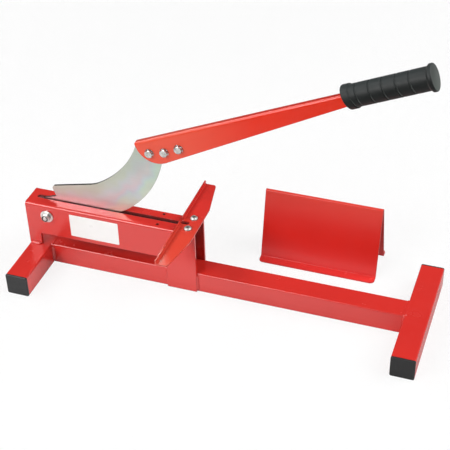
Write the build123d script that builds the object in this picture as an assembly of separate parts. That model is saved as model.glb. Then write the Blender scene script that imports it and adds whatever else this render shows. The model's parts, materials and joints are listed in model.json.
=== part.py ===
from build123d import *
import math
import os

# A laminate flooring cutter. A welded base of square tube carries a folded sheet housing with a
# slotted top, and a curved shear blade on a folded handle swings down through that slot.
# Sizes are in millimetres. +X runs along the base from the pivot towards the grip, +Y to the rear
# and +Z up. The origin is on the floor, under the middle of the base.

# Base of square tube, with a plastic cap in each open end
base_length = 711.0
foot_length = 243.0
tube_size = 40.0
tube_wall = 2.0
tube_bend = 1.0
cap_flange = 3.0
cap_depth = 14.0
cap_wall = 2.0
cap_web = 1.2
cap_bevel = 0.9
cap_clearance = 0.2

# Housing, folded from one sheet over the left half of the beam, on a short and a long pair of legs
housing_rise = 86.0
housing_sheet = 4.0
housing_bend = 0.5
short_leg_width = 23.0
long_leg_width = 53.5
window_rise = 24.0
window_corner = 2.0
leg_lift = 2.0

# Pivot bolt through the housing, with a spacer tube on each side of the blade
pivot_inset = 40.0
pivot_drop = 21.8
pivot_size = 8.0
pivot_flats = 13.0
pivot_head = 5.3
pivot_nut_height = 5.4
pivot_nut_collar = 1.8
pivot_end = 0.3
pivot_washer_width = 23.0
pivot_washer_thickness = 2.0
pivot_spacer_width = 18.0
running_clearance = 0.05
side_play = 0.15

# Blade, in the plane of the slot. Places are from the pivot, with the arm as it stands at rest.
blade_thickness = 4.0
slot_clearance = 2.3
slot_behind_pivot = 26.5
slot_end_clearance = 2.0
housing_past_slot = 17.37
eye_radius = 25.0
eye_blend = 14.0
edge_radius = 183.3
edge_center = (34.0, 177.4)
spine_radius = 172.9
spine_center = (6.6, 223.3)
spine_blend = 60.0
spine_angle = 13.3
heel_top = (10.9, 52.0)
heel_notch = (11.1, 30.1)
heel_angle = 109.3
heel_rounding = 6.0
notch_rounding = 1.5
bevel_width = 8.0
bevel_land = 1.0
bevel_start = 277.0

# Handle, a folded channel. Places are along its top edge from its lower end, and square to it.
handle_root = (170.4, 172.65)
handle_angle = 23.4
handle_end = -2.5
handle_end_rounding = 37.0
handle_end_corner = 2.0
handle_root_depth = 50.8
handle_grip_depth = 19.6
handle_tail_depth = 14.4
handle_tail = 104.0
handle_sheet = 3.0
handle_bend = 2.0
tab_start = -1.0
tab_end = 86.0
tab_top_gap = 2.0
tab_depth = 40.0
tab_rounding = 4.0

# Three bolts through the handle and the blade, with spacer rings on both sides of the blade
bolt_places = ((15.8, -23.7), (42.5, -28.3), (70.0, -27.9))
bolt_size = 8.0
bolt_flats = 13.0
bolt_head = 4.6
bolt_flange_width = 15.8
bolt_flange = 1.4
bolt_nut_height = 6.5
bolt_nut_collar = 2.0
bolt_end = 2.0
bolt_clearance = 0.1
ring_width = 15.0
ring_thickness = 2.0

# Moulded grip on the handle's tail
grip_start = 367.5
grip_length = 142.8
grip_axis_drop = 7.2
grip_radius = 18.1
grip_collar_radius = 19.8
grip_collar = 12.0
grip_mouth_lean = 13.0
grip_flange_radius = 21.0
grip_flange = 6.5
grip_edge = 1.8
grip_dome = 1.4
grip_grooves = 5
grip_groove_first = 26.0
grip_groove_pitch = 20.8
grip_groove_lean = 8.0
grip_groove_width = 3.1
grip_groove_floor = 1.2
grip_groove_depth = 1.0
grip_clearance = 0.15

# Fence, an angle across the housing, and its screws
fence_from_end = 32.5
fence_length = 236.0
fence_sheet = 2.5
fence_bend = 1.5
fence_upstand = 9.0
fence_width = 34.5
fence_end_width = 21.0
fence_straight = 94.0
fence_corner = 5.0
fence_notch = 10.0
screw_from_fence = 18.0
screw_from_wall = 5.0
spare_holes_back = 54.5
screw_size = 6.0
screw_clearance = 0.25
screw_head_width = 13.0
screw_head = 4.2
screw_recess_width = 1.2
screw_recess_span = 5.4
screw_recess_depth = 1.4
screw_end = 2.0
thread_core = 5.0

# Loose plank support, a folded sheet tent as high as the housing
support_length = 209.3
support_sheet = 2.0
support_lean = 13.6
support_ridge = 2.5
support_foot_bend = 3.0
support_lip = 17.0
support_lip_corner = 8.0
support_from_foot = 74.8
support_back = 138.8


# Places on the arm, from the pivot
def handle_point(along, across):
    turn = math.radians(handle_angle)
    return (
        handle_root[0] + along * math.cos(turn) - across * math.sin(turn),
        handle_root[1] + along * math.sin(turn) + across * math.cos(turn),
    )


# Where the cutting edge goes in under the handle
def edge_exit():
    start = handle_point(handle_end, -handle_root_depth)
    end = handle_point(grip_start, -handle_grip_depth)
    run = math.dist(start, end)
    along = ((end[0] - start[0]) / run, (end[1] - start[1]) / run)
    away = (start[0] - edge_center[0], start[1] - edge_center[1])
    middle = away[0] * along[0] + away[1] * along[1]
    reach = math.sqrt(middle**2 - math.hypot(*away) ** 2 + edge_radius**2) - middle
    return (start[0] + reach * along[0], start[1] + reach * along[1])


# Places that follow from the sizes above. The reach of the edge sets the slot, and the slot the housing.
edge_reach = math.sqrt(math.hypot(*edge_exit()) ** 2 - pivot_drop**2)
slot_length = slot_behind_pivot + edge_reach + slot_end_clearance
housing_length = pivot_inset - slot_behind_pivot + slot_length + housing_past_slot
window_length = housing_length - short_leg_width - long_leg_width
left_end = -base_length / 2
right_end = base_length / 2
left_foot_x = left_end + tube_size / 2
right_foot_x = right_end - tube_size / 2
housing_top = tube_size + housing_rise
housing_width = tube_size + 2 * housing_sheet
pivot_x = left_end + pivot_inset
pivot_z = housing_top - pivot_drop
fence_x = left_end + housing_length - fence_from_end
screw_x = fence_x + screw_from_fence
spare_x = screw_x - spare_holes_back
screw_spacing = tube_size - 2 * screw_from_wall
handle_gap = blade_thickness + 2 * ring_thickness
handle_width = handle_gap + 2 * handle_sheet
handle_taper = (handle_root_depth - handle_grip_depth) / (grip_start - handle_end)

# Blade drawn about the pivot, handle drawn along its top edge, and sections square to the handle
arm_plane = Plane(origin=(pivot_x, 0, pivot_z), x_dir=(1, 0, 0), z_dir=(0, -1, 0))
handle_place = Pos(*handle_root) * Rot(0, 0, handle_angle)
handle_plane = Plane(arm_plane.location * handle_place)
handle_section_plane = Plane(origin=handle_plane.origin, x_dir=(0, 1, 0), z_dir=handle_plane.x_dir)


def facing_rear(x, y, z):
    return Plane(origin=(x, y, z), x_dir=(1, 0, 0), z_dir=(0, 1, 0))


def facing_front(x, y, z):
    return Plane(origin=(x, y, z), x_dir=(1, 0, 0), z_dir=(0, -1, 0))


def facing_right(x, y, z):
    return Plane(origin=(x, y, z), x_dir=(0, 1, 0), z_dir=(1, 0, 0))


def rod(radius, length):
    return extrude(Circle(radius), length)


def ring(width, bore, thickness):
    return rod(width / 2, thickness) - rod(bore / 2, thickness)


def nearest(sketch, place):
    return sketch.vertices().sort_by_distance(place)[0]


# Folded sheet, open below, with the middle of its top at the origin
def channel_outline(width, depth, corner):
    outline = Pos(0, -depth / 2) * Rectangle(width, depth)
    return fillet(outline.vertices().group_by(Axis.Y)[-1], corner)


def channel_section(gap, depth, sheet, bend):
    inside = Pos(0, -sheet) * channel_outline(gap, depth - sheet, bend)
    return channel_outline(gap + 2 * sheet, depth, bend + sheet) - inside


# Fasteners, standing on their seat with the shank below it
def hexagon(flats, height):
    corner = flats / math.sqrt(3)
    crown = 0.47 * flats
    drop = (corner - crown) * math.tan(math.radians(30))
    turned = Polygon((0, 0), (corner, 0), (corner, height - drop), (crown, height), (0, height), align=None)
    blank = extrude(RegularPolygon(flats / 2, 6, major_radius=False), height)
    return blank & revolve(Plane.XZ * turned, Axis.Z)


def shank(size, length):
    bar = rod(size / 2, -length)
    return chamfer(bar.faces().sort_by(Axis.Z)[0].edges(), size / 10)


def lock_nut(size, flats, height, collar):
    round_top = chamfer(rod(0.48 * flats, height + collar).edges().group_by(Axis.Z)[-1], collar / 6)
    insert_seat = Pos(0, 0, height + collar) * rod(0.29 * flats + size / 4, -collar / 3)
    bore = rod(size / 2 + running_clearance, height + collar)
    return hexagon(flats, height) + round_top - insert_seat - bore


def flange_bolt(length):
    flange = Polygon(
        (0, 0), (bolt_flange_width / 2, 0), (bolt_flange_width / 2, bolt_flange / 2),
        (bolt_flats / 2, bolt_flange * 1.6), (0, bolt_flange * 1.6), align=None,
    )
    head = hexagon(bolt_flats, bolt_head) + revolve(Plane.XZ * flange, Axis.Z)
    return head + shank(bolt_size, length)


# Base
def tube_section():
    bore = tube_size - 2 * tube_wall
    corner = tube_bend + tube_wall
    return RectangleRounded(tube_size, tube_size, corner) - RectangleRounded(bore, bore, tube_bend)


def foot(x):
    length = foot_length - 2 * cap_flange
    return extrude(facing_rear(x, -length / 2, tube_size / 2) * tube_section(), length)


def main_beam():
    start = facing_right(left_end + tube_size, 0, tube_size / 2)
    return extrude(start * tube_section(), base_length - 2 * tube_size)


# Cap with a bevelled face, and a hollow plug crossed by two webs
def end_cap():
    plug = tube_size - 2 * tube_wall - 2 * cap_clearance
    hollow = plug - 2 * cap_wall
    face = extrude(RectangleRounded(tube_size, tube_size, tube_bend + tube_wall), cap_flange)
    face = chamfer(face.faces().sort_by(Axis.Z)[-1].edges(), cap_bevel)
    walls = RectangleRounded(plug, plug, tube_bend) - Rectangle(hollow, hollow)
    webs = Rectangle(hollow, cap_web) + Rectangle(cap_web, hollow)
    return face + extrude(walls + webs, -cap_depth)


def front_cap(x):
    return facing_front(x, cap_flange - foot_length / 2, tube_size / 2) * end_cap()


def rear_cap(x):
    return facing_rear(x, foot_length / 2 - cap_flange, tube_size / 2) * end_cap()


# Slot that the blade swings through, from behind the pivot to past the reach of its edge
def slot_plan():
    middle = pivot_x - slot_behind_pivot + slot_length / 2
    return Pos(middle, 0) * SlotOverall(slot_length, blade_thickness + 2 * slot_clearance)


def screw_places(x):
    return [(x, -screw_spacing / 2), (x, screw_spacing / 2)]


# Channel cut back to its legs, with the slot and four threaded holes in its top
def blade_housing():
    section = channel_section(tube_size, housing_top - leg_lift, housing_sheet, housing_bend)
    shape = extrude(facing_right(left_end, 0, housing_top) * section, housing_length)

    window_top = tube_size + window_rise
    window_middle = left_end + short_leg_width + window_length / 2
    window = Pos(window_middle, window_top / 2) * Rectangle(window_length, window_top)
    window = fillet(window.vertices().group_by(Axis.Y)[-1], window_corner)
    below_leg = Pos(left_end + short_leg_width / 2, tube_size / 2) * Rectangle(short_leg_width, tube_size)
    shape -= extrude(Plane.XZ * (window + below_leg), housing_width, both=True)

    pivot_hole = rod(pivot_size / 2 + bolt_clearance, 2 * housing_width)
    shape -= facing_rear(pivot_x, -housing_width, pivot_z) * pivot_hole
    for x in (screw_x, spare_x):
        for place in screw_places(x):
            shape -= Pos(*place, housing_top) * rod(thread_core / 2, -housing_sheet)
    return shape - extrude(Pos(0, 0, housing_top) * slot_plan(), -2 * housing_sheet, both=True)


# Angle with its outer corner at the origin, lying on its wider leg
def fence_section():
    plate = Pos(fence_width / 2, fence_sheet / 2) * Rectangle(fence_width, fence_sheet)
    upstand = Pos(fence_sheet / 2, fence_upstand / 2) * Rectangle(fence_sheet, fence_upstand)
    angle = plate + upstand
    angle = fillet(nearest(angle, (fence_sheet, fence_sheet)), fence_bend)
    return fillet(nearest(angle, (0, 0)), fence_bend + fence_sheet)


# Angle with a plate that tapers towards both ends, slotted and notched for the blade
def fence():
    half = fence_length / 2
    straight = fence_straight / 2
    plan = Polygon(
        (0, -half), (fence_end_width, -half), (fence_width, -straight),
        (fence_width, straight), (fence_end_width, half), (0, half), align=None,
    )
    plan = fillet([nearest(plan, (fence_end_width, side)) for side in (-half, half)], fence_corner)
    shape = extrude(facing_front(fence_x, half, housing_top) * fence_section(), fence_length)
    shape &= extrude(Pos(fence_x, 0, housing_top) * plan, fence_upstand)

    notch_width = 2 * (fence_sheet + fence_bend)
    notch = Pos(fence_x, 0) * Rectangle(notch_width, fence_notch)
    shape -= extrude(Pos(0, 0, housing_top + fence_sheet) * notch, fence_upstand)
    shape -= extrude(Pos(0, 0, housing_top) * slot_plan(), fence_upstand)
    for place in screw_places(screw_x):
        shape -= Pos(*place, housing_top) * rod(screw_size / 2 + screw_clearance, fence_sheet)
    return shape


# Pan head screw with a cross recess
def fence_screw():
    brim = screw_head / 3
    profile = Polygon(
        (0, 0), (screw_head_width / 2, 0), (screw_head_width / 2, brim),
        (screw_head_width / 3, screw_head), (0, screw_head), align=None,
    )
    profile = fillet(nearest(profile, (screw_head_width / 3, screw_head)), brim)
    head = revolve(Plane.XZ * profile, Axis.Z)
    bar = Rectangle(screw_recess_span, screw_recess_width)
    cross = bar + Rot(0, 0, 90) * bar
    head -= extrude(Pos(0, 0, screw_head) * cross, -screw_recess_depth)
    return head + shank(thread_core - 2 * running_clearance, fence_sheet + housing_sheet + screw_end)


# Sabre shape: a convex cutting edge, a hollow spine, a heel, an eye round the pivot, and the tab
# that is bolted inside the handle
def blade_outline():
    def left_of_line(place, angle):
        far = 2 * edge_radius
        return Pos(*place) * Rot(0, 0, angle) * Pos(0, far / 2) * Rectangle(2 * far, far)

    hollow = Pos(*spine_center) * Circle(spine_radius) + left_of_line(heel_top, spine_angle + 90)
    hollow &= left_of_line(heel_top, spine_angle)
    hollow = fillet(nearest(hollow, heel_top), spine_blend)

    tab_top = -handle_sheet - tab_top_gap
    tab_length = tab_end - tab_start
    tab_height = tab_depth + tab_top
    tab_middle = Pos((tab_start + tab_end) / 2, tab_top - tab_height / 2)
    tab = handle_place * tab_middle * RectangleRounded(tab_length, tab_height, tab_rounding)

    sabre = Pos(*edge_center) * Circle(edge_radius)
    sabre &= left_of_line(heel_notch, heel_angle + 180)
    sabre &= left_of_line(handle_point(0, tab_top), handle_angle + 180)

    notch_angle = math.atan2(heel_notch[1], heel_notch[0])
    touch = notch_angle + math.acos(eye_radius / math.hypot(*heel_notch))
    heel_foot = heel_notch[0] - heel_notch[1] / math.tan(math.radians(heel_angle))
    tang = Polygon(
        (0, 0), (heel_foot, 0), heel_notch,
        (eye_radius * math.cos(touch), eye_radius * math.sin(touch)), align=None,
    )
    outline = (sabre + tab - hollow) + tang + Circle(eye_radius)
    outline = fillet(nearest(outline, heel_top), heel_rounding)
    outline = fillet(nearest(outline, heel_notch), notch_rounding)
    return fillet(nearest(outline, (eye_radius, 0)), eye_blend)


# Grinding along the rear of the cutting edge, swept round the middle of its arc
def edge_bevel():
    tip = edge_exit()
    stop = math.degrees(math.atan2(tip[1] - edge_center[1], tip[0] - edge_center[0])) + 362
    middle = (pivot_x + edge_center[0], 0, pivot_z + edge_center[1])
    turn = math.radians(bevel_start)
    outward = (math.cos(turn), 0, math.sin(turn))
    start = Plane(origin=middle, x_dir=outward, z_dir=(-outward[2], 0, outward[0]))
    back = blade_thickness / 2
    fall = 1.25 * (blade_thickness - bevel_land)
    inner = edge_radius - bevel_width
    outer = inner + 1.25 * bevel_width
    wedge = Polygon((inner, back), (outer, back), (outer, back - fall), align=None)
    return revolve(start * wedge, Axis(middle, (0, -1, 0)), stop - bevel_start)


def blade():
    shape = extrude(arm_plane * blade_outline(), blade_thickness / 2, both=True)
    holes = arm_plane * Circle(pivot_size / 2 + running_clearance)
    for place in bolt_places:
        holes += handle_plane * Pos(*place) * Circle(bolt_size / 2 + bolt_clearance)
    return shape - extrude(holes, blade_thickness, both=True) - edge_bevel()


# Side view of the handle from its lower end to the end of its tail
def handle_side(clearance=0.0):
    tail = grip_start + handle_tail + clearance
    tail_start = grip_start + (handle_grip_depth - handle_tail_depth) / handle_taper
    tail_under = -handle_tail_depth - clearance
    return Polygon(
        (handle_end, clearance), (handle_end, -handle_root_depth - clearance),
        (tail_start, tail_under), (tail, tail_under), (tail, clearance), align=None,
    )


# Channel that is deep and rounded at the blade and tapers to a narrow tail inside the grip
def handle_channel():
    side = handle_side()
    side = fillet(nearest(side, (handle_end, -handle_root_depth)), handle_end_rounding)
    side = fillet(nearest(side, (handle_end, 0)), handle_end_corner)
    section = channel_section(handle_gap, handle_root_depth, handle_sheet, handle_bend)
    length = grip_start + handle_tail - handle_end
    shape = extrude(handle_section_plane * Pos(0, 0, handle_end) * section, length)
    shape &= extrude(handle_plane * side, handle_width, both=True)
    for place in bolt_places:
        hole = handle_plane * Pos(*place) * Circle(bolt_size / 2 + bolt_clearance)
        shape -= extrude(hole, handle_width, both=True)
    return shape


# Turned grip with a collar, an end flange and ring grooves, moulded round the tail. Its collar and its
# grooves lean, and lie further along the handle underneath than on top.
def handle_grip():
    span = 6 * grip_collar_radius
    flange_lift = grip_flange_radius - grip_radius
    flange_start = grip_length - grip_flange
    profile = Polygon(
        (0, 0), (grip_radius, 0), (grip_radius, flange_start - flange_lift),
        (grip_flange_radius, flange_start), (grip_flange_radius, grip_length), (0, grip_length), align=None,
    )
    rims = profile.vertices().group_by(Axis.X)[-1].sort_by(Axis.Y)[0]
    shape = revolve(Plane.XZ * fillet(rims, grip_edge), Axis.Z)
    dome_radius = (grip_flange_radius**2 + grip_dome**2) / (2 * grip_dome)
    shape &= Pos(0, 0, grip_length - dome_radius) * Rot(90, 0, 0) * Sphere(dome_radius)
    shape = fillet(shape.faces().sort_by(Axis.Z)[-1].edges(), grip_edge)
    mouth = Pos(0, grip_collar_radius) * Rot(-grip_mouth_lean, 0, 0)
    shape -= mouth * extrude(Rectangle(span, span), -span)
    collar = mouth * extrude(Rectangle(span, span), grip_collar)
    collar &= Pos(0, 0, -span) * rod(grip_collar_radius, 2 * span)
    shape += fillet(collar.edges().filter_by(GeomType.ELLIPSE), grip_edge)

    deep = grip_radius - grip_groove_depth
    clear = grip_radius + grip_groove_depth
    floor = grip_groove_floor / 2
    flare = grip_groove_width - floor
    groove = Polygon((deep, -floor), (clear, -flare), (clear, flare), (deep, floor), align=None)
    groove = Rot(-grip_groove_lean, 0, 0) * revolve(Plane.YZ * groove, Axis.Z)
    for index in range(grip_grooves):
        shape -= Pos(0, 0, grip_groove_first + index * grip_groove_pitch) * groove
    shape = handle_section_plane * Pos(0, -grip_axis_drop, grip_start) * shape

    corner = handle_bend + handle_sheet + grip_clearance
    outline = channel_outline(handle_width + 2 * grip_clearance, handle_root_depth, corner)
    pocket = extrude(handle_section_plane * Pos(0, grip_clearance) * outline, grip_start + grip_length)
    return shape - (pocket & extrude(handle_plane * handle_side(grip_clearance), handle_width, both=True))


# Folded sheet tent: the line is the middle of the sheet, from lip to lip over the ridge
def plank_support():
    lean = math.radians(support_lean)
    rise = housing_top - support_sheet + support_ridge * (1 / math.sin(lean) - 1)
    spread = rise * math.tan(lean)
    under = support_sheet / 2
    line = FilletPolyline(
        (-spread - support_lip, under), (-spread, under), (0, rise + under),
        (spread, under), (spread + support_lip, under),
        radius=[support_foot_bend, support_ridge, support_foot_bend],
    )
    start = right_end - tube_size - support_from_foot - support_length
    section = facing_right(start, support_back, 0) * trace(line, support_sheet)
    shape = extrude(section, support_length)
    lips = shape.edges().filter_by(Axis.Z).group_by(lambda edge: abs(edge.center().Y - support_back))[-1]
    return fillet(lips, support_lip_corner)


wall_front = -housing_width / 2
wall_rear = housing_width / 2
washer_front = wall_front - pivot_washer_thickness
washer_rear = wall_rear + pivot_washer_thickness
pivot_washer = ring(pivot_washer_width, pivot_size + 2 * bolt_clearance, pivot_washer_thickness)
spacer_length = (tube_size - blade_thickness) / 2 - side_play
pivot_spacer = ring(pivot_spacer_width, pivot_size + 2 * bolt_clearance, spacer_length)
pivot_grip = washer_rear - washer_front
pivot_length = pivot_grip + pivot_nut_height + pivot_nut_collar + pivot_end
pivot_bolt = hexagon(pivot_flats, pivot_head) + shank(pivot_size, pivot_length)
pivot_nut = lock_nut(pivot_size, pivot_flats, pivot_nut_height, pivot_nut_collar)

handle_bolt = flange_bolt(handle_width + bolt_nut_height + bolt_nut_collar + bolt_end)
handle_nut = lock_nut(bolt_size, bolt_flats, bolt_nut_height, bolt_nut_collar)
spacer_ring = ring(ring_width, bolt_size + 2 * bolt_clearance, ring_thickness)


# The same piece at each of the three bolts, at a given height towards the front
def at_bolts(piece, front, turned=False):
    flip = Rot(180, 0, 0) if turned else Rot(0, 0, 0)
    return Part() + [handle_plane * Pos(*place, front) * flip * piece for place in bolt_places]


nodes = {
    "left_foot": foot(left_foot_x),
    "right_foot": foot(right_foot_x),
    "main_beam": main_beam(),
    "left_front_cap": front_cap(left_foot_x),
    "left_rear_cap": rear_cap(left_foot_x),
    "right_front_cap": front_cap(right_foot_x),
    "right_rear_cap": rear_cap(right_foot_x),
    "blade_housing": blade_housing(),
    "fence": fence(),
    "fence_screws": Part() + [
        Pos(*place, housing_top + fence_sheet) * fence_screw() for place in screw_places(screw_x)
    ],
    "pivot_bolt": facing_rear(pivot_x, washer_rear, pivot_z) * pivot_bolt,
    "pivot_nut": facing_front(pivot_x, washer_front, pivot_z) * pivot_nut,
    "pivot_washer_front": facing_front(pivot_x, wall_front, pivot_z) * pivot_washer,
    "pivot_washer_rear": facing_rear(pivot_x, wall_rear, pivot_z) * pivot_washer,
    "pivot_spacer_front": facing_rear(pivot_x, -tube_size / 2, pivot_z) * pivot_spacer,
    "pivot_spacer_rear": facing_front(pivot_x, tube_size / 2, pivot_z) * pivot_spacer,
    "blade": blade(),
    "handle_channel": handle_channel(),
    "handle_grip": handle_grip(),
    "handle_bolts": at_bolts(handle_bolt, handle_width / 2),
    "handle_nuts": at_bolts(handle_nut, -handle_width / 2, turned=True),
    "handle_spacers_front": at_bolts(spacer_ring, blade_thickness / 2),
    "handle_spacers_rear": at_bolts(spacer_ring, -blade_thickness / 2, turned=True),
    "plank_support": plank_support(),
}

os.makedirs("parts", exist_ok=True)
for name, shape in nodes.items():
    export_step(shape, f"parts/{name}.step")
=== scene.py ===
import json
import math
import bmesh
import bpy
import numpy as np
from mathutils import Matrix, Vector


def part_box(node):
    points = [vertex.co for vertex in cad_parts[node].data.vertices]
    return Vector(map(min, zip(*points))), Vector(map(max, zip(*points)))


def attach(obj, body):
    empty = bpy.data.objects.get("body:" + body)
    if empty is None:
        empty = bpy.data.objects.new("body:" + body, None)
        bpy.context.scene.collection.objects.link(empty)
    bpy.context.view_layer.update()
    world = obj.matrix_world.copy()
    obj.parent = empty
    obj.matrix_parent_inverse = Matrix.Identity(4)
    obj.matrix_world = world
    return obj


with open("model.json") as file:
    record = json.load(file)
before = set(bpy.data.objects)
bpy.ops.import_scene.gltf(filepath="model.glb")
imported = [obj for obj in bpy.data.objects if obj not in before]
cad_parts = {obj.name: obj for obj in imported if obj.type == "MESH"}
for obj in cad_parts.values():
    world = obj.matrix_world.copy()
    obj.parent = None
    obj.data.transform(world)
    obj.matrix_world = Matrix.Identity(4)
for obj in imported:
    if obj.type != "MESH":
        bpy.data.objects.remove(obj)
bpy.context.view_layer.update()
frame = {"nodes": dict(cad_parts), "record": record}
nodes = frame["nodes"]
scene = bpy.context.scene
scene.view_settings.view_transform = "Standard"
print("frame loaded:", len(nodes), "nodes")


# Rays that a material sends out at each sample, to find corners and hollows
raySamples = {"bevel": 6, "edge": 6, "hollow": 8, "floor": 4}


# Small helpers for shader trees
def startMaterial(name):
    material = bpy.data.materials.new(name)
    material.use_nodes = True
    tree = material.node_tree
    tree.nodes.clear()
    output = tree.nodes.new("ShaderNodeOutputMaterial")
    shader = tree.nodes.new("ShaderNodeBsdfPrincipled")
    tree.links.new(shader.outputs[0], output.inputs["Surface"])
    return material, tree, shader


def addNode(tree, kind, settings=None, **inputs):
    made = tree.nodes.new("ShaderNode" + kind)
    for key, value in (settings or {}).items():
        setattr(made, key, value)
    for key, value in inputs.items():
        feed(tree, made.inputs[key], value)
    return made


def feed(tree, socket, value):
    if isinstance(value, bpy.types.NodeSocket):
        tree.links.new(value, socket)
    else:
        socket.default_value = value


def objectPlace(tree, stretch=(1, 1, 1), turn=(0, 0, 0)):
    coords = addNode(tree, "TexCoord").outputs["Object"]
    if stretch == (1, 1, 1) and turn == (0, 0, 0):
        return coords
    return addNode(tree, "Mapping", Vector=coords, Scale=stretch, Rotation=turn).outputs[0]


def axisOf(tree, vector, axis):
    return addNode(tree, "SeparateXYZ", Vector=vector).outputs[axis]


def noise(tree, place, size, detail, rough=0.5):
    # size is the width of a patch in metres
    made = addNode(tree, "TexNoise", Vector=place, Scale=1 / size, Detail=detail, Roughness=rough)
    return made.outputs["Fac"]


def spread(tree, value, low, high, toLow=0.0, toHigh=1.0):
    made = addNode(tree, "MapRange", Value=value)
    for key, number in (("From Min", low), ("From Max", high), ("To Min", toLow), ("To Max", toHigh)):
        feed(tree, made.inputs[key], number)
    return made.outputs[0]


def patches(tree, place, size, detail, *ranges, rough=0.5):
    # noise of one patch width, spread from its own range to another
    return spread(tree, noise(tree, place, size, detail, rough), *ranges)


def sums(tree, how, first, second):
    made = addNode(tree, "Math", {"operation": how})
    feed(tree, made.inputs[0], first)
    feed(tree, made.inputs[1], second)
    return made.outputs[0]


def times(tree, first, second):
    return sums(tree, "MULTIPLY", first, second)


def plus(tree, first, second):
    return sums(tree, "ADD", first, second)


def tint(tree, amount, first, second):
    # the sockets of a colour mix go by number, since their names repeat
    made = addNode(tree, "Mix", {"data_type": "RGBA"})
    feed(tree, made.inputs[0], amount)
    feed(tree, made.inputs[6], first if isinstance(first, bpy.types.NodeSocket) else (*first, 1))
    feed(tree, made.inputs[7], second if isinstance(second, bpy.types.NodeSocket) else (*second, 1))
    return made.outputs[2]


def roundedNormal(tree, radius):
    return addNode(tree, "Bevel", {"samples": raySamples["bevel"]}, Radius=radius).outputs[0]


def edgeMask(tree, radius, low, high):
    # 0 on open faces and 1 along outer and inner corners
    same = addNode(tree, "VectorMath", {"operation": "DOT_PRODUCT"})
    feed(tree, same.inputs[0], roundedNormal(tree, radius))
    feed(tree, same.inputs[1], addNode(tree, "NewGeometry").outputs["True Normal"])
    return spread(tree, same.outputs["Value"], 1 - low, 1 - high)


def openness(tree, reach, samples, **settings):
    # 1 in the open and 0 in a closed corner
    made = addNode(tree, "AmbientOcclusion", {"samples": raySamples[samples], **settings}, Distance=reach)
    return made.outputs["AO"]


def bumps(tree, normal, *layers):
    # each layer is (height, depth in metres)
    for height, depth in layers:
        made = addNode(tree, "Bump", Height=height, Distance=depth, Normal=normal)
        made.inputs["Strength"].default_value = 1.0
        normal = made.outputs[0]
    return normal


# In the materials, noise is written as the width of a patch in metres and its detail, and where it is spread,
# as its range and what that range becomes. Edges are the radius and range of edgeMask, and facings are ranges
# of one axis of a normal.

# Red powder coat of the base, housing, fence, handle and support
redPaint = {
    "red": (0.680, 0.027, 0.019),
    "deepRed": (0.610, 0.019, 0.014),
    "clouds": (0.11, 3, 0.35, 0.70, 0.0, 0.55),
    "grain": (0.0011, 2, 0.55, 0.80, 0.0, 0.18),
    "paintedLightFades": (),
    "thinEdgeAndTopShade": (0.240, 0.010, 0.009),
    "edgeReach": 0.0012,
    "edgeSeen": (0.95, 0.60),
    "edgePatches": (0.013, 4, 0.34, 0.62, 0.25, 0.70),
    "wear": 1.0,
    "crown": None,
    "dust": (0.640, 0.110, 0.095),
    "dustAndSheenFacing": (0.6, 1.0),
    "dustPatches": (0.04, 5, 0.45, 0.80, 0.0, 0.06),
    "dustRaggedness": 0.65,
    "paintedShade": (0.060, 0.013, 0.011),
    "recess": 0.055,
    "pit": (0.52, 0.22),
    "shadePatches": (0.05, 3, 0.3, 0.6, 0.75, 0.95),
    "rubStretch": (18, 420, 420),
    "rubTurn": (0.3, 0.2, 0.5),
    "rubs": (1.0, 3, 0.66, 0.74),
    "rubPatches": (0.06, 2, 0.5, 0.7),
    "rough": (0.02, 4, 0.3, 0.7, 0.18, 0.26),
    "roughRubs": 0.04,
    "roughDust": 0.8,
    "roughWhereShaded": 0.35,
    "shine": 1.70,  # index of refraction
    "edgeRadius": 0.0006,
    "peel": (0.0032, 1),
    "peelDepth": 0.000014,
    "wave": (0.07, 1),
    "waveDepth": 0.00025,
}

# The coats of these pieces carry painted light and reflections that fade: the handle toward the blade, the
# fence toward the front, and the support toward its ridge and its foot. A fade is an axis, where it starts and
# ends, and its colour.
handlePaint = {
    **redPaint,
    "red": (0.760, 0.024, 0.004),
    "deepRed": (0.690, 0.018, 0.003),
    "paintedLightFades": (("X", 0.060, -0.075, (0.760, 0.075, 0.035)),),
    "crown": (0.82, 0.93, 0.0, 0.45),  # painted shade on the narrow top: how far up a face looks, and how deep its red gets
    "shine": 1.50,
}
fencePaint = {**redPaint, "paintedLightFades": (("Y", 0.030, -0.040, (0.735, 0.056, 0.029)),)}
supportPaint = {
    **redPaint,
    "red": (0.690, 0.0185, 0.0120),
    "deepRed": (0.620, 0.0135, 0.0085),
    "paintedLightFades": (
        ("Z", 0.080, 0.125, (0.705, 0.051, 0.036)),
        ("Z", 0.060, 0.012, (0.690, 0.037, 0.033)),
    ),
    "shine": 1.45,
}
housingPaint = {**redPaint, "pit": (0.85, 0.40)}  # more painted shade, darker inside
weldCoat = {**redPaint, "wear": 0.0, "recess": 0.004}


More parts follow.
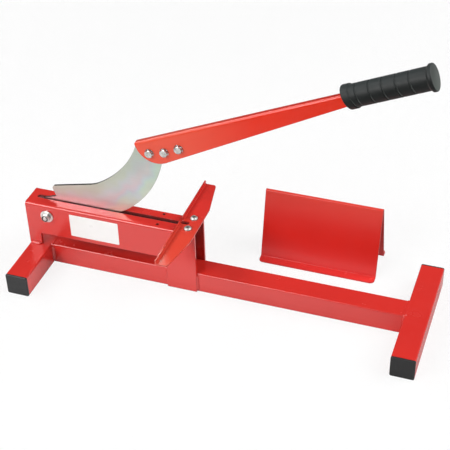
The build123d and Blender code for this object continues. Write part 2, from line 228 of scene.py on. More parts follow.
def paintMaterial(name, coat):
    material, tree, shader = startMaterial(name)
    place = objectPlace(tree)
    colour = tint(tree, patches(tree, place, *coat["clouds"]), coat["red"], coat["deepRed"])
    colour = tint(tree, patches(tree, place, *coat["grain"]), colour, coat["deepRed"])
    # painted light: each fade shifts the coat's colour along one axis, as light and reflections fall on the
    # piece
    for axis, start, end, paintedTone in coat["paintedLightFades"]:
        colour = tint(tree, spread(tree, axisOf(tree, place, axis), start, end), colour, paintedTone)
    # thin paint along outer corners, where a short look into the piece meets its next face
    inside = openness(tree, coat["edgeReach"], "edge", inside=True, only_local=True)
    worn = times(tree, spread(tree, inside, *coat["edgeSeen"]), patches(tree, place, *coat["edgePatches"]))
    colour = tint(tree, times(tree, worn, coat["wear"]), colour, coat["thinEdgeAndTopShade"])
    if coat["crown"]:  # painted shade: a deeper red along the narrow top, where it reads darker in the light
        up = axisOf(tree, addNode(tree, "TexCoord").outputs["Normal"], "Z")
        colour = tint(tree, spread(tree, up, *coat["crown"]), colour, coat["thinEdgeAndTopShade"])
    # a trace of dust on faces that look up
    up = axisOf(tree, addNode(tree, "NewGeometry").outputs["Normal"], "Z")
    dustAndSheen = patches(tree, place, *coat["dustPatches"], rough=coat["dustRaggedness"])
    dustAndSheen = times(tree, spread(tree, up, *coat["dustAndSheenFacing"]), dustAndSheen)
    colour = tint(tree, dustAndSheen, colour, coat["dust"])
    # painted shade deep in the slot and the housing, in patches
    hollow = spread(tree, openness(tree, coat["recess"], "hollow", only_local=True), *coat["pit"])
    hollow = times(tree, hollow, patches(tree, place, *coat["shadePatches"]))
    colour = tint(tree, hollow, colour, coat["paintedShade"])
    feed(tree, shader.inputs["Base Color"], colour)
    # fine handling scratches only change the gloss
    rubs = patches(tree, objectPlace(tree, coat["rubStretch"], coat["rubTurn"]), *coat["rubs"])
    rubs = times(tree, rubs, patches(tree, place, *coat["rubPatches"]))
    rough = plus(tree, patches(tree, place, *coat["rough"]), times(tree, rubs, coat["roughRubs"]))
    dustAndShadeRough = plus(tree, times(tree, dustAndSheen, coat["roughDust"]), times(tree, hollow, coat["roughWhereShaded"]))
    feed(tree, shader.inputs["Roughness"], plus(tree, rough, dustAndShadeRough))
    shader.inputs["IOR"].default_value = coat["shine"]
    peel = noise(tree, place, *coat["peel"])
    wave = noise(tree, place, *coat["wave"])
    rounded = roundedNormal(tree, coat["edgeRadius"])
    normal = bumps(tree, rounded, (peel, coat["peelDepth"]), (wave, coat["waveDepth"]))
    feed(tree, shader.inputs["Normal"], normal)
    return material


# Zinc plated blade with a faint rainbow film, and a ground edge on its rear
bladeZinc = {
    "spineArc": ((-0.3089, 0.0, 0.3275), 0.1729),  # middle and radius of the hollow spine
    "edgeArc": ((-0.2815, 0.0, 0.2816), 0.1833),  # and of the cutting edge
    "film": (
        (0.00, (0.571, 0.595, 0.497)),
        (0.14, (0.594, 0.603, 0.536)),
        (0.28, (0.587, 0.611, 0.630)),
        (0.44, (0.680, 0.588, 0.615)),
        (0.56, (0.696, 0.572, 0.599)),
        (0.68, (0.602, 0.603, 0.669)),
        (0.79, (0.563, 0.658, 0.661)),
        (0.90, (0.587, 0.689, 0.568)),
        (1.00, (0.626, 0.673, 0.568)),
    ),
    "filmWavers": ((0.05, 1, 0.25, 0.75, -0.20, 0.20), (0.02, 1, 0.25, 0.75, -0.10, 0.10)),
    "redReflection": (0.680, 0.450, 0.430),
    "redReflectionBelow": (0.180, 0.145, 0.0, 0.42),
    "green": (0.590, 0.720, 0.620),
    "greenAbove": (0.185, 0.225),
    "greenFilm": (0.35, 0.85, 0.30, 0.55),
    "streaked": (0.50, 0.49, 0.46),
    "streakStretch": (30, 900, 900),
    "streakTurn": (0, 0.35, 0),
    "streak": (1.0, 4),
    "streakShade": (0.50, 0.75, 0.0, 0.16),
    "ground": (0.700, 0.700, 0.690),
    "groundFacing": ((0.60, 0.65), (0.995, 0.985)),
    "rim": (0.075, 0.072, 0.064),
    "rimFacing": (0.40, 0.25, 0.0, 0.9),
    "edges": (0.0013, 0.05, 0.4),
    "edgeShade": 0.85,
    "rough": (0.03, 4, 0.3, 0.7, 0.29, 0.40),
    "roughStreak": (0.45, 0.75, 0.0, 0.06),
    "edgeRadius": 0.0004,
    "streakDepth": 0.00001,
    "grindStretch": (1400, 40, 1400),
    "grind": (1.0, 2),
    "grindDepth": 0.00002,
}


def filmColours(tree, film):
    ramp = addNode(tree, "ValToRGB", Fac=film)
    ramp.color_ramp.interpolation = "B_SPLINE"
    stops = ramp.color_ramp.elements
    stops.remove(stops[1])
    for index, (at, shade) in enumerate(bladeZinc["film"]):
        stop = stops[0] if index == 0 else stops.new(at)
        stop.position = at
        stop.color = (*shade, 1)
    return ramp.outputs["Color"]


def bladeMaterial():
    material, tree, shader = startMaterial("blade_zinc_plate")
    place = objectPlace(tree)
    # the film thickens from the spine to the edge, unevenly, and its colour follows
    gaps = []
    for middle, radius in (bladeZinc["spineArc"], bladeZinc["edgeArc"]):
        away = addNode(tree, "VectorMath", {"operation": "DISTANCE"})
        feed(tree, away.inputs[0], place)
        feed(tree, away.inputs[1], middle)
        gaps.append(sums(tree, "ABSOLUTE", sums(tree, "SUBTRACT", away.outputs["Value"], radius), 0.0))
    film = sums(tree, "DIVIDE", gaps[0], plus(tree, *gaps))
    for waver in bladeZinc["filmWavers"]:
        film = plus(tree, film, patches(tree, place, *waver))
    colour = filmColours(tree, film)
    # a painted reflection of the red housing, warmer low on the blade, and greener up by the handle
    height = axisOf(tree, place, "Z")
    colour = tint(tree, spread(tree, height, *bladeZinc["redReflectionBelow"]), colour, bladeZinc["redReflection"])
    green = spread(tree, film, *bladeZinc["greenFilm"])
    green = times(tree, spread(tree, height, *bladeZinc["greenAbove"]), green)
    colour = tint(tree, green, colour, bladeZinc["green"])
    along = objectPlace(tree, bladeZinc["streakStretch"], bladeZinc["streakTurn"])
    streak = noise(tree, along, *bladeZinc["streak"])
    colour = tint(tree, spread(tree, streak, *bladeZinc["streakShade"]), colour, bladeZinc["streaked"])
    # the ground edge is the only broad face that leans
    side = axisOf(tree, addNode(tree, "NewGeometry").outputs["True Normal"], "Y")
    side = sums(tree, "ABSOLUTE", side, 0.0)
    ground = times(tree, *(spread(tree, side, *facing) for facing in bladeZinc["groundFacing"]))
    colour = tint(tree, ground, colour, bladeZinc["ground"])
    # the cut faces round the plate and its corners are dark
    colour = tint(tree, spread(tree, side, *bladeZinc["rimFacing"]), colour, bladeZinc["rim"])
    edge = edgeMask(tree, *bladeZinc["edges"])
    colour = tint(tree, times(tree, edge, bladeZinc["edgeShade"]), colour, bladeZinc["rim"])
    feed(tree, shader.inputs["Base Color"], colour)
    shader.inputs["Metallic"].default_value = 1.0
    rough = patches(tree, place, *bladeZinc["rough"])
    rough = plus(tree, rough, spread(tree, streak, *bladeZinc["roughStreak"]))
    feed(tree, shader.inputs["Roughness"], rough)
    grind = noise(tree, objectPlace(tree, bladeZinc["grindStretch"]), *bladeZinc["grind"])
    grind = times(tree, grind, ground)
    layers = (streak, bladeZinc["streakDepth"]), (grind, bladeZinc["grindDepth"])
    feed(tree, shader.inputs["Normal"], bumps(tree, roundedNormal(tree, bladeZinc["edgeRadius"]), *layers))
    return material


# Bright zinc of bolts, nuts, washers, spacers and screws
boltZinc = {
    "finishes": {  # roughness and dullness
        "bright_zinc": (0.26, 0.6),
        "handle_bolt_zinc": (0.15, 1.0),
        "pivot_zinc": (0.38, 0.6),
        "screw_zinc": (0.52, 1.0),
    },
    "zinc": (0.850, 0.845, 0.825),
    "dull": (0.400, 0.395, 0.370),
    "clouds": (0.006, 4, 0.42, 0.72),
    "cloudRange": 0.6,
    "rubbed": (0.86, 0.86, 0.84),
    "edges": (0.0005, 0.05, 0.4),
    "edgeShade": 0.25,
    "paintedShade": (0.060, 0.056, 0.050),
    "cornerReach": 0.0035,
    "corners": (0.80, 0.40, 0.0, 0.9),
    "rough": (0.003, 3, 0.3, 0.7),
    "roughRange": (-0.06, 0.08),
    "edgeRadius": 0.0004,
    "pits": (0.0008, 2),
    "pitDepth": 0.000008,
}


def boltMaterial(name):
    material, tree, shader = startMaterial(name)
    roughness, dullness = boltZinc["finishes"][name]
    place = objectPlace(tree)
    cloud = patches(tree, place, *boltZinc["clouds"], dullness - boltZinc["cloudRange"], dullness)
    colour = tint(tree, cloud, boltZinc["zinc"], boltZinc["dull"])
    edge = edgeMask(tree, *boltZinc["edges"])
    colour = tint(tree, times(tree, edge, boltZinc["edgeShade"]), colour, boltZinc["rubbed"])
    # painted shade in the corners between head, nut, washer and the parts they hold
    corner = openness(tree, boltZinc["cornerReach"], "hollow")
    colour = tint(tree, spread(tree, corner, *boltZinc["corners"]), colour, boltZinc["paintedShade"])
    feed(tree, shader.inputs["Base Color"], colour)
    shader.inputs["Metallic"].default_value = 1.0
    least, most = (roughness + change for change in boltZinc["roughRange"])
    feed(tree, shader.inputs["Roughness"], patches(tree, place, *boltZinc["rough"], least, most))
    pits = noise(tree, place, *boltZinc["pits"]), boltZinc["pitDepth"]
    feed(tree, shader.inputs["Normal"], bumps(tree, roundedNormal(tree, boltZinc["edgeRadius"]), pits))
    return material


# Black moulded grip
gripRubber = {
    "black": (0.0085, 0.0105, 0.0100),
    "worn": (0.017, 0.020, 0.019),
    "clouds": (0.03, 4),
    "cloudShade": (0.40, 0.75, 0.0, 0.5),
    "rubbed": (0.040, 0.045, 0.043),
    "edges": (0.001, 0.03, 0.3),
    "edgeShade": 0.6,
    "dustAndSheen": (0.046, 0.056, 0.057),
    "dustAndSheenFacing": (0.45, 1.0, 0.0, 0.60),
    "end": (0.044, 0.058, 0.049),
    "endReflectionFacing": (0.85, 0.95, 0.0, 0.80),
    "groove": (0.150, 0.165, 0.155),
    "grooveReach": 0.002,
    "grooveSeen": (0.92, 0.70),
    "grooveLow": (0.25, -0.15),
    "grooveFront": (-0.3, -0.7),
    "rough": (0.30, 0.70, 0.45, 0.58),
    "shine": 1.38,
    "edgeRadius": 0.0005,
    "grain": (0.0009, 3),
    "grainDepth": 0.000018,
}


def gripMaterial():
    material, tree, shader = startMaterial("grip_rubber")
    place = objectPlace(tree)
    cloud = noise(tree, place, *gripRubber["clouds"])
    worn = spread(tree, cloud, *gripRubber["cloudShade"])
    colour = tint(tree, worn, gripRubber["black"], gripRubber["worn"])
    edge = edgeMask(tree, *gripRubber["edges"])
    colour = tint(tree, times(tree, edge, gripRubber["edgeShade"]), colour, gripRubber["rubbed"])
    # paler on top, a painted sheen, and on the end, a painted reflection
    facing = addNode(tree, "SeparateXYZ", Vector=addNode(tree, "TexCoord").outputs["Normal"]).outputs
    colour = tint(tree, spread(tree, facing["Z"], *gripRubber["dustAndSheenFacing"]), colour, gripRubber["dustAndSheen"])
    colour = tint(tree, spread(tree, facing["X"], *gripRubber["endReflectionFacing"]), colour, gripRubber["end"])
    # a painted highlight, pale, in the lower front of the grooves
    groove = openness(tree, gripRubber["grooveReach"], "hollow", only_local=True)
    groove = spread(tree, groove, *gripRubber["grooveSeen"])
    groove = times(tree, groove, spread(tree, facing["Z"], *gripRubber["grooveLow"]))
    groove = times(tree, groove, spread(tree, facing["Y"], *gripRubber["grooveFront"]))
    colour = tint(tree, groove, colour, gripRubber["groove"])
    feed(tree, shader.inputs["Base Color"], colour)
    feed(tree, shader.inputs["Roughness"], spread(tree, cloud, *gripRubber["rough"]))
    shader.inputs["IOR"].default_value = gripRubber["shine"]
    grain = noise(tree, place, *gripRubber["grain"]), gripRubber["grainDepth"]
    feed(tree, shader.inputs["Normal"], bumps(tree, roundedNormal(tree, gripRubber["edgeRadius"]), grain))
    return material


# Dark grey caps of the feet
capPlastic = {
    "grey": (0.017, 0.017, 0.0175),
    "scuffed": (0.050, 0.050, 0.050),
    "scuffs": (0.008, 5, 0.55, 0.75),
    "scuffRaggedness": 0.6,
    "edges": (0.0015, 0.03, 0.3),
    "edgeShare": (0.0, 1.0, 0.12, 0.7),
    "rough": (0.004, 3, 0.3, 0.7, 0.37, 0.52),
    "shine": 1.45,
    "edgeRadius": 0.0006,
    "grain": (0.0007, 2),
    "grainDepth": 0.00003,
}


def capMaterial():
    material, tree, shader = startMaterial("cap_plastic")
    place = objectPlace(tree)
    scuff = patches(tree, place, *capPlastic["scuffs"], rough=capPlastic["scuffRaggedness"])
    edge = spread(tree, edgeMask(tree, *capPlastic["edges"]), *capPlastic["edgeShare"])
    colour = tint(tree, times(tree, scuff, edge), capPlastic["grey"], capPlastic["scuffed"])
    feed(tree, shader.inputs["Base Color"], colour)
    feed(tree, shader.inputs["Roughness"], patches(tree, place, *capPlastic["rough"]))
    shader.inputs["IOR"].default_value = capPlastic["shine"]
    grain = noise(tree, place, *capPlastic["grain"]), capPlastic["grainDepth"]
    feed(tree, shader.inputs["Normal"], bumps(tree, roundedNormal(tree, capPlastic["edgeRadius"]), grain))
    return material


# Plain white sticker
labelVinyl = {
    "white": (0.900, 0.895, 0.880),
    "aged": (0.800, 0.785, 0.740),
    "stains": (0.03, 4, 0.5, 0.8, 0.0, 0.25),
    "edges": (0.0012, 0.03, 0.4),
    "edgeShade": 0.4,
    "rough": (0.012, 3, 0.3, 0.7, 0.27, 0.42),
    "wave": (0.018, 2),
    "waveDepth": 0.0001,
    "grain": (0.0006, 2),
    "grainDepth": 0.000006,
}


def labelMaterial():
    material, tree, shader = startMaterial("label_vinyl")
    place = objectPlace(tree)
    edge = times(tree, edgeMask(tree, *labelVinyl["edges"]), labelVinyl["edgeShade"])
    aged = sums(tree, "MAXIMUM", patches(tree, place, *labelVinyl["stains"]), edge)
    feed(tree, shader.inputs["Base Color"], tint(tree, aged, labelVinyl["white"], labelVinyl["aged"]))
    feed(tree, shader.inputs["Roughness"], patches(tree, place, *labelVinyl["rough"]))
    normal = addNode(tree, "NewGeometry").outputs["Normal"]
    wave = noise(tree, place, *labelVinyl["wave"]), labelVinyl["waveDepth"]
    grain = noise(tree, place, *labelVinyl["grain"]), labelVinyl["grainDepth"]
    feed(tree, shader.inputs["Normal"], bumps(tree, normal, wave, grain))
    return material


# A finish for each material slot, and then those of single nodes
slotFinishes = {
    "red_paint": paintMaterial("red_powder_coat", redPaint),
    "blade_zinc": bladeMaterial(),
    "bright_zinc": boltMaterial("bright_zinc"),
    "grip_rubber": gripMaterial(),
    "cap_plastic": capMaterial(),
}
pivotZinc = boltMaterial("pivot_zinc")
nodeFinishes = {
    "handle_channel": paintMaterial("handle_powder_coat", handlePaint),
    "fence": paintMaterial("fence_powder_coat", fencePaint),
    "plank_support": paintMaterial("support_powder_coat", supportPaint),
    "blade_housing": paintMaterial("housing_powder_coat", housingPaint),
    "handle_bolts": boltMaterial("handle_bolt_zinc"),
    "fence_screws": boltMaterial("screw_zinc"),
    "pivot_nut": pivotZinc,
    "pivot_bolt": pivotZinc,
    "pivot_washer_front": pivotZinc,
    "pivot_washer_rear": pivotZinc,
}
for row in frame["record"]["subparts"]:
    mesh = nodes[row["node"]].data
    mesh.materials.clear()
    mesh.materials.append(nodeFinishes.get(row["node"], slotFinishes[row["material_slot"]]))
weldPaint = paintMaterial("weld_powder_coat", weldCoat)
print("finishes on CAD nodes:", len(slotFinishes), "by slot,", len(nodeFinishes), "by node")


# Small helpers for pieces
def bridge(made, before, after):
    for index in range(len(before)):
        other = (index + 1) % len(before)
        made.faces.new((before[index], before[other], after[other], after[index]))


def closeTube(made, rings):
    for before, after in zip(rings, rings[1:]):
        bridge(made, before, after)
    made.faces.new(reversed(rings[0]))
    made.faces.new(rings[-1])


def finishMesh(name, made, smooth=True):
    bmesh.ops.recalc_face_normals(made, faces=made.faces)
    mesh = bpy.data.meshes.new(name)
    made.to_mesh(mesh)
    made.free()
    for face in mesh.polygons:
        face.use_smooth = smooth
    return mesh


def newPiece(name, mesh, material, body):
    mesh.materials.append(material)
    piece = bpy.data.objects.new(name, mesh)
    scene.collection.objects.link(piece)
    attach(piece, body)


# Weld beads in the corners between tubes and housing. A bead runs along a corner line, and leans on
# the two faces that meet there.
weldBead = {
    "leg": 0.0042,
    "lapLeg": 0.0036,
    "footHeights": (0.004, 0.0375),
    "lapHeights": (0.005, 0.0365),
    "shortLeg": (0.002, 0.0222),  # from the left side of the left foot
    "lap": 0.0535,
    "step": 0.0005,
    "leastRows": 8,
    "across": 9,
    "root": 0.0004,
    "straight": 0.45,  # share of a straight fillet face, and what a round one adds
    "round": 0.5115,
    "puddle": 0.0031,
    "ripples": 0.13,
    "lean": 0.18,
    "knot": 0.006,  # length over which it changes
    "spareKnots": 4,
    "wander": 0.12,
    "unevenness": 0.08,
    "taper": 1.1,
    "tip": 0.02,
    "firstSeed": 11,
}


def beadMesh(name, start, end, alongFirst, alongSecond, leg, seed):
    draw = np.random.default_rng(seed)
    start, end = Vector(start), Vector(end)
    first, second = Vector(alongFirst), Vector(alongSecond)
    length = (end - start).length
    ahead = (end - start).normalized()
    rows = max(weldBead["leastRows"], int(length / weldBead["step"]))
    across = weldBead["across"]
    knots = draw.uniform(-1, 1, int(length / weldBead["knot"]) + weldBead["spareKnots"])
    phase = draw.uniform(0, 1)
    made = bmesh.new()
    rings = []
    for row in range(rows + 1):
        run = row / rows * length
        change = np.interp(run / weldBead["knot"], range(len(knots)), knots)
        # each puddle rises fast and falls slowly, like stacked coins
        puddle = (run / weldBead["puddle"] + phase + weldBead["wander"] * change) % 1.0
        size = leg * (1 + weldBead["ripples"] * (0.5 - puddle) + weldBead["unevenness"] * change)
        nearEnd = min(run, length - run) / (weldBead["taper"] * leg)
        size *= math.sqrt(max(weldBead["tip"], 1 - max(0.0, 1 - nearEnd) ** 2))
        center = start.lerp(end, row / rows)
        ring = []
        for step in range(across + 1):
            turn = math.radians(90) * step / across
            bulge = weldBead["straight"] / (math.cos(turn) + math.sin(turn)) + weldBead["round"]
            reach = size * (bulge if 0 < step < across else 1.0)
            lean = weldBead["lean"] * leg * (puddle - 0.5) * math.sin(2 * turn)
            spot = center + ahead * lean
            ring.append(made.verts.new(spot + first * reach * math.cos(turn) + second * reach * math.sin(turn)))
        ring.append(made.verts.new(center - first * weldBead["root"] - second * weldBead["root"]))
        rings.append(ring)
    closeTube(made, rings)
    return finishMesh(name, made)


def placeWelds():
    beamLow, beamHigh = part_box("main_beam")
    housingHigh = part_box("blade_housing")[1]
    footLow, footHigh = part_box("left_foot")
    legStart, legEnd = (footLow.x + along for along in weldBead["shortLeg"])
    beads = []
    for side, label in ((-1, "front"), (1, "rear")):
        wall = housingHigh.y * side
        beamSide = beamHigh.y * side
        out = (0, side, 0)
        # foot to beam, both ends
        low, high = weldBead["footHeights"]
        for x, away, end in ((beamLow.x, 1, "left"), (beamHigh.x, -1, "right")):
            line = (x, beamSide, low), (x, beamSide, high)
            beads.append((f"weld_{end}_{label}", *line, (away, 0, 0), out, weldBead["leg"]))
        # short legs on the left foot
        line = (legStart, wall, footHigh.z), (legEnd, wall, footHigh.z)
        beads.append((f"weld_short_leg_{label}", *line, out, (0, 0, 1), weldBead["leg"]))
        # long legs lapped on the beam
        low, high = weldBead["lapHeights"]
        for x, away, end in ((housingHigh.x - weldBead["lap"], -1, "inner"), (housingHigh.x, 1, "outer")):
            line = (x, beamSide, low), (x, beamSide, high)
            beads.append((f"weld_long_leg_{end}_{label}", *line, (away, 0, 0), out, weldBead["lapLeg"]))
    for seed, (name, *bead) in enumerate(beads, weldBead["firstSeed"]):
        newPiece(name, beadMesh(name, *bead, seed), weldPaint, "base")


placeWelds()


# Flush seams over the tops of the beam's two joints, with a lump where they turn down at the corners
flushSeam = {
    "onFoot": 0.0034,
    "onBeam": 0.0026,
    "crown": 0.0003,
    "roundness": 0.7,
    "sunk": 0.00004,
    "lump": 4.0,
    "swell": 0.3,
    "waver": 0.00025,
    "root": 0.0024,
    "corner": 0.003,
    "down": 0.0025,
    "cornerStep": 9,  # degrees
    "steps": 60,
    "across": 8,
    "seeds": {"left": 41, "right": 42},
}


def seamPath(high, half):
    # across the beam, up one corner, over the top and down the other: y, z and the way it faces
    corner = flushSeam["corner"]
    path = [(-half, high - corner - flushSeam["down"], 0.0)]
    for turn in range(0, 91, flushSeam["cornerStep"]):
        inward, up = 1 - math.cos(math.radians(turn)), 1 - math.sin(math.radians(turn))
        path.append((-half + corner * inward, high - corner * up, turn))
    rise = list(path)
    flat = half - corner
    steps = flushSeam["steps"]
    path += [(-flat + 2 * flat * step / steps, high, 90) for step in range(1, steps)]
    return path + [(-y, z, 180 - turn) for y, z, turn in reversed(rise)]


def seamMesh(name, x, away, high, half, seed):
    draw = np.random.default_rng(seed)
    along = Vector((away, 0, 0))
    made = bmesh.new()
    rings = []
    for y, z, turn in seamPath(high, half):
        middle = Vector((x, y, z))
        out = Vector((0, -math.cos(math.radians(turn)), math.sin(math.radians(turn))))
        swell = 1 + flushSeam["lump"] * abs(math.cos(math.radians(turn)))
        swell += draw.uniform(-flushSeam["swell"], flushSeam["swell"])
        waver = draw.uniform(-flushSeam["waver"], flushSeam["waver"])
        ring = []
        for step in range(flushSeam["across"] + 1):
            part = step / flushSeam["across"]
            arch = math.sin(math.pi * part)
            across = -flushSeam["onFoot"] + part * (flushSeam["onFoot"] + flushSeam["onBeam"]) + waver * arch
            rise = flushSeam["crown"] * swell * arch ** flushSeam["roundness"] - flushSeam["sunk"]
            ring.append(made.verts.new(middle + along * across + out * rise))
        ring.append(made.verts.new(middle - out * flushSeam["root"]))
        rings.append(ring)
    closeTube(made, rings)
    return finishMesh(name, made)


def placeSeams():
    low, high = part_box("main_beam")
    for x, away, end in ((low.x, 1, "left"), (high.x, -1, "right")):
        name = f"weld_{end}_top"
        mesh = seamMesh(name, x, away, high.z, high.y, flushSeam["seeds"][end])
        newPiece(name, mesh, weldPaint, "base")


placeSeams()
print("weld beads and seams placed")


# Dark nylon rings in the ends of the locking nuts
nylonRing = {
    "nuts": {  # depth of the seat, the way it opens along Y, and the body
        "pivot_nut": (0.00060, -1, "base"),
        "handle_nuts": (0.00067, 1, "cutting_arm"),
    },
    "outer": 0.00577,  # radius of the seat
    "inner": 0.0040,  # and of the thread
    "steps": 48,
    "slack": 0.00003,
    "sunk": 0.0001,
    "rim": 0.0002,
    "rimTurns": (0.5, 1.0, 1.57),
    "crest": 0.00004,
    "lip": (0.00015, 0.00002),
    "bore": (0.00002, 0.00018),
    "black": (0.010, 0.010, 0.011),
    "chafed": (0.024, 0.024, 0.023),
    "chafes": (0.0015, 3, 0.45, 0.75, 0.0, 0.5),
    "rough": (0.0, 0.5, 0.50, 0.68),
    "shine": 1.36,
    "edgeRadius": 0.0001,
    "grain": (0.0004, 2),
    "grainDepth": 0.00001,
    "sameSpot": 0.00002,
}


def nylonMaterial():
    material, tree, shader = startMaterial("nylon")
    place = objectPlace(tree)
    chafed = patches(tree, place, *nylonRing["chafes"])
    feed(tree, shader.inputs["Base Color"], tint(tree, chafed, nylonRing["black"], nylonRing["chafed"]))
    feed(tree, shader.inputs["Roughness"], spread(tree, chafed, *nylonRing["rough"]))
    shader.inputs["IOR"].default_value = nylonRing["shine"]
    grain = noise(tree, place, *nylonRing["grain"]), nylonRing["grainDepth"]
    feed(tree, shader.inputs["Normal"], bumps(tree, roundedNormal(tree, nylonRing["edgeRadius"]), grain))
    return material


def looseBoxes(node):
    # boxes of the separate solids in one node, from left to right
    made = bmesh.new()
    made.from_mesh(nodes[node].data)
    bmesh.ops.remove_doubles(made, verts=made.verts, dist=nylonRing["sameSpot"])
    boxes = []
    waiting = set(made.verts)
    while waiting:
        group = [waiting.pop()]
        for vert in group:
            for line in vert.link_edges:
                other = line.other_vert(vert)
                if other in waiting:
                    waiting.remove(other)
                    group.append(other)
        places = np.array([vert.co for vert in group])
        boxes.append((Vector(places.min(0)), Vector(places.max(0))))
    made.free()
    return sorted(boxes, key=lambda box: box[0].x)


def ringSection(depth):
    # radius and height of the outline: rounded at the rim, and pushed up a little by the bolt's thread
    outer, inner, sunk, rim = (nylonRing[key] for key in ("outer", "inner", "sunk", "rim"))
    (lipOut, lipDown), (boreOut, boreDown) = nylonRing["lip"], nylonRing["bore"]
    wall, bore = outer - nylonRing["slack"], inner + boreOut
    section = [(wall, -depth), (wall, -rim - sunk)]
    for turn in nylonRing["rimTurns"]:
        section.append((outer - rim * (1 - math.cos(turn)), -sunk - rim * (1 - math.sin(turn))))
    section += [(0.5 * (outer + inner), -nylonRing["crest"]), (inner + lipOut, -lipDown)]
    return section + [(bore, -boreDown), (bore, -depth)]


def ringMesh(name, middle, face, outward, depth):
    made = bmesh.new()
    section = ringSection(depth)
    rings = []
    for step in range(nylonRing["steps"]):
        turn = math.tau * step / nylonRing["steps"]
        ring = []
        for radius, height in section:
            x, z = middle.x + radius * math.cos(turn), middle.z + radius * math.sin(turn)
            ring.append(made.verts.new((x, face + outward * height, z)))
        rings.append(ring)
    for index, ring in enumerate(rings):
        bridge(made, ring, rings[(index + 1) % len(rings)])
    return finishMesh(name, made)


def placeRings():
    nylon = nylonMaterial()
    for node, (depth, outward, body) in nylonRing["nuts"].items():
        for count, (low, high) in enumerate(looseBoxes(node), 1):
            face = high.y if outward > 0 else low.y
            name = f"nylon_ring_{node}_{count}"
            mesh = ringMesh(name, (low + high) / 2, face, outward, depth)
            newPiece(name, mesh, nylon, body)


placeRings()
print("nylon rings placed")


# Bare sticker on the front wall of the housing
bareLabel = {
    "left": -0.2725,
    "right": -0.1820,
    "low": 0.0720,
    "high": 0.1170,
    "corner": 0.0016,
    "cornerSteps": 6,
    "thick": 0.00018,
}


def placeLabel():
    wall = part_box("blade_housing")[0].y
    corner = bareLabel["corner"]
    left, right = bareLabel["left"] + corner, bareLabel["right"] - corner
    low, high = bareLabel["low"] + corner, bareLabel["high"] - corner
    outline = []
    for x, z, start in ((right, high, 0), (left, high, 90), (left, low, 180), (right, low, 270)):
        for step in range(bareLabel["cornerSteps"] + 1):
            turn = math.radians(start + 90 * step / bareLabel["cornerSteps"])
            outline.append((x + corner * math.cos(turn), z + corner * math.sin(turn)))
    made = bmesh.new()
    front = [made.verts.new((x, wall - bareLabel["thick"], z)) for x, z in outline]
    back = [made.verts.new((x, wall, z)) for x, z in outline]
    made.faces.new(front)
    bridge(made, back, front)
    newPiece("bare_label", finishMesh("bare_label", made, smooth=False), labelMaterial(), "base")


placeLabel()
print("label placed")


# Pale floor, which keeps a soft shadow of the object. To the eye it mostly glows, so that it is white.
studioFloor = {
    "half": 6.0,
    "drop": 0.0002,
    "white": (0.90, 0.90, 0.90),
    "glow": 0.86,
    "whiteFrom": (0.9, 2.2),  # how far out it starts to glow more, and only glows
    "paperGrain": (0.70, 1.30),  # too fine to see, it keeps the denoiser from taking noise for texture
    "glossGlow": 0.70,
    "dim": (0.12, 0.12, 0.12),  # painted falloff of light, in gloss, beyond these edges
    "frontEdge": (-0.40, -0.60),
    "rightEdge": (0.10, 0.70),
    "rearEdge": (0.60, 0.35),
    "mirroredShadeX": ((-0.15, -0.06), (0.30, 0.25)),
    "mirroredShadeY": ((-0.35, -0.30), (-0.09, -0.13)),
    "coverReach": 0.12,
    "covered": (0.45, 0.15),
}


def floorMaterial():
    material = bpy.data.materials.new("studio_floor")
    material.use_nodes = True
    material.cycles.emission_sampling = "NONE"  # the floor is no lamp
    tree = material.node_tree
    tree.nodes.clear()
    rays = addNode(tree, "LightPath")
    gloss = rays.outputs["Is Glossy Ray"]
    place = addNode(tree, "NewGeometry").outputs["Position"]
    away = addNode(tree, "VectorMath", {"operation": "LENGTH"})
    feed(tree, away.inputs[0], place)
    glow = spread(tree, away.outputs["Value"], *studioFloor["whiteFrom"], studioFloor["glow"], 1.0)
    seen = sums(tree, "MAXIMUM", rays.outputs["Is Camera Ray"], rays.outputs["Is Transmission Ray"])
    seen = sums(tree, "MAXIMUM", times(tree, seen, glow), times(tree, gloss, studioFloor["glossGlow"]))
    grain = addNode(tree, "TexWhiteNoise", {"noise_dimensions": "3D"}, Vector=place).outputs["Value"]
    grain = spread(tree, grain, 0.0, 1.0, *studioFloor["paperGrain"])
    # gloss shows a painted pool of light on the floor round the object, and a dimmer floor beyond it
    spot = addNode(tree, "SeparateXYZ", Vector=place)
    rear = spread(tree, spot.outputs["Y"], *studioFloor["rearEdge"])
    aside = times(tree, spread(tree, spot.outputs["X"], *studioFloor["rightEdge"]), rear)
    beyond = sums(tree, "MAXIMUM", spread(tree, spot.outputs["Y"], *studioFloor["frontEdge"]), aside)
    beyond = times(tree, beyond, gloss)
    # in gloss it also shows painted shade: a dark patch before the beam, which the support mirrors, and dark
    # ground under cover
    mirroredShade = 1.0
    for axis, edges in (("X", studioFloor["mirroredShadeX"]), ("Y", studioFloor["mirroredShadeY"])):
        for edge in edges:
            mirroredShade = times(tree, mirroredShade, spread(tree, spot.outputs[axis], *edge))
    cover = spread(tree, openness(tree, studioFloor["coverReach"], "floor"), *studioFloor["covered"])
    dark = times(tree, sums(tree, "MAXIMUM", mirroredShade, cover), gloss)
    shades = []
    for plain in (studioFloor["white"], (1, 1, 1)):
        shades.append(tint(tree, dark, tint(tree, beyond, plain, studioFloor["dim"]), (0, 0, 0)))
    mixed = addNode(tree, "MixShader", Fac=seen)
    paper = addNode(tree, "BsdfDiffuse", Color=shades[0])
    light = addNode(tree, "Emission", Color=shades[1], Strength=grain)
    tree.links.new(paper.outputs[0], mixed.inputs[1])
    tree.links.new(light.outputs[0], mixed.inputs[2])
    output = tree.nodes.new("ShaderNodeOutputMaterial")
    tree.links.new(mixed.outputs[0], output.inputs["Surface"])
    return material


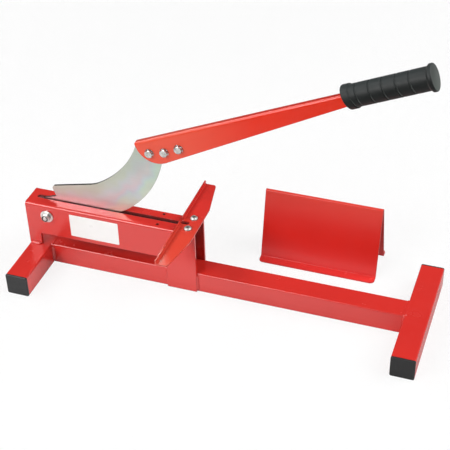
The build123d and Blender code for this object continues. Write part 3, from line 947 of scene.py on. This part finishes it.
def placeFloor():
    half = studioFloor["half"]
    corners = [(-half, -half), (half, -half), (half, half), (-half, half)]
    mesh = bpy.data.meshes.new("floor")
    mesh.from_pydata([(x, y, -studioFloor["drop"]) for x, y in corners], [], [(0, 1, 2, 3)])
    floor = bpy.data.objects.new("floor", mesh)
    scene.collection.objects.link(floor)
    mesh.materials.append(floorMaterial())


placeFloor()


# White near the horizon, dimmer overhead, as in a studio with a low white backdrop
studioSky = {
    "horizon": (1.0, 1.0, 1.0),
    "overhead": (0.12, 0.12, 0.12),
    "dimming": (0.0, 0.14),  # heights at which it starts to dim and is dim
    "room": (0.16, 0.16, 0.16),
    "roomFrom": (0.05, -0.20),
    "fill": 0.40,
}


def placeSky():
    world = bpy.data.worlds.new("studio")
    scene.world = world
    world.use_nodes = True
    tree = world.node_tree
    tree.nodes.clear()
    toward = addNode(tree, "SeparateXYZ", Vector=addNode(tree, "TexCoord").outputs["Generated"])
    height = spread(tree, toward.outputs["Z"], *studioSky["dimming"])
    colour = tint(tree, height, studioSky["horizon"], studioSky["overhead"])
    # the eye sees white all round, and gloss a low white backdrop with a dimmer room in front
    rays = addNode(tree, "LightPath")
    colour = tint(tree, rays.outputs["Is Camera Ray"], colour, studioSky["horizon"])
    front = spread(tree, toward.outputs["Y"], *studioSky["roomFrom"])
    colour = tint(tree, times(tree, front, rays.outputs["Is Glossy Ray"]), colour, studioSky["room"])
    # the backdrop is white to the eye and in gloss, and lights the object only a little
    seen = sums(tree, "MAXIMUM", rays.outputs["Is Camera Ray"], rays.outputs["Is Glossy Ray"])
    seen = sums(tree, "MAXIMUM", seen, rays.outputs["Is Transmission Ray"])
    strength = spread(tree, seen, 0.0, 1.0, studioSky["fill"], 1.0)
    light = addNode(tree, "Background", Color=colour, Strength=strength)
    output = tree.nodes.new("ShaderNodeOutputWorld")
    tree.links.new(light.outputs[0], output.inputs["Surface"])


placeSky()

# Soft boxes: place, aim point, width, height, power in watts
softBoxes = {
    "key": ((-1.37, -2.13, 1.82), (0.0, 0.0, 0.12), 2.0, 1.1, 67.0),
    "side": ((-2.25, 0.08, 2.15), (0.10, 0.0, 0.35), 1.2, 1.1, 31.0),
    "right": ((1.85, 0.45, 1.70), (0.0, 0.05, 0.10), 2.0, 1.8, 57.0),
}


def placeLamps():
    for name, (place, aim, width, height, power) in softBoxes.items():
        lamp = bpy.data.lights.new(name, "AREA")
        lamp.shape = "RECTANGLE"
        lamp.size = width
        lamp.size_y = height
        lamp.energy = power
        holder = bpy.data.objects.new(name, lamp)
        holder.location = place
        holder.rotation_euler = (Vector(aim) - Vector(place)).to_track_quat("-Z", "Y").to_euler()
        holder.visible_camera = False
        scene.collection.objects.link(holder)


placeLamps()
print("floor, sky and lamps placed")

# Camera as the photograph was taken, worked out for a 450 x 450 image
photoView = {
    "place": (0.52539, -1.42718, 1.28191),
    "azimuth": 19.33,
    "elevation": 36.95,
    "roll": -1.16,
    "sensor": 36.0,
    "lens": 91.884,
    "shift": -0.0273,
    "far": 50.0,
}


def placeCamera():
    azimuth, elevation, roll = (math.radians(photoView[key]) for key in ("azimuth", "elevation", "roll"))
    ahead, aside = math.cos(azimuth) * math.cos(elevation), math.sin(azimuth) * math.cos(elevation)
    back = Vector((aside, -ahead, math.sin(elevation)))
    right = Vector((math.cos(azimuth), math.sin(azimuth), 0))
    up = back.cross(right)
    leanRight = right * math.cos(roll) + up * math.sin(roll)
    leanUp = up * math.cos(roll) - right * math.sin(roll)
    lens = bpy.data.cameras.new("photo_camera")
    lens.sensor_width = photoView["sensor"]
    lens.lens = photoView["lens"]
    lens.shift_x = photoView["shift"]
    lens.clip_end = photoView["far"]
    camera = bpy.data.objects.new("photo_camera", lens)
    turned = Matrix((leanRight, leanUp, back)).transposed().to_4x4()
    camera.matrix_world = Matrix.Translation(photoView["place"]) @ turned
    scene.collection.objects.link(camera)
    scene.camera = camera


placeCamera()
print("camera placed")
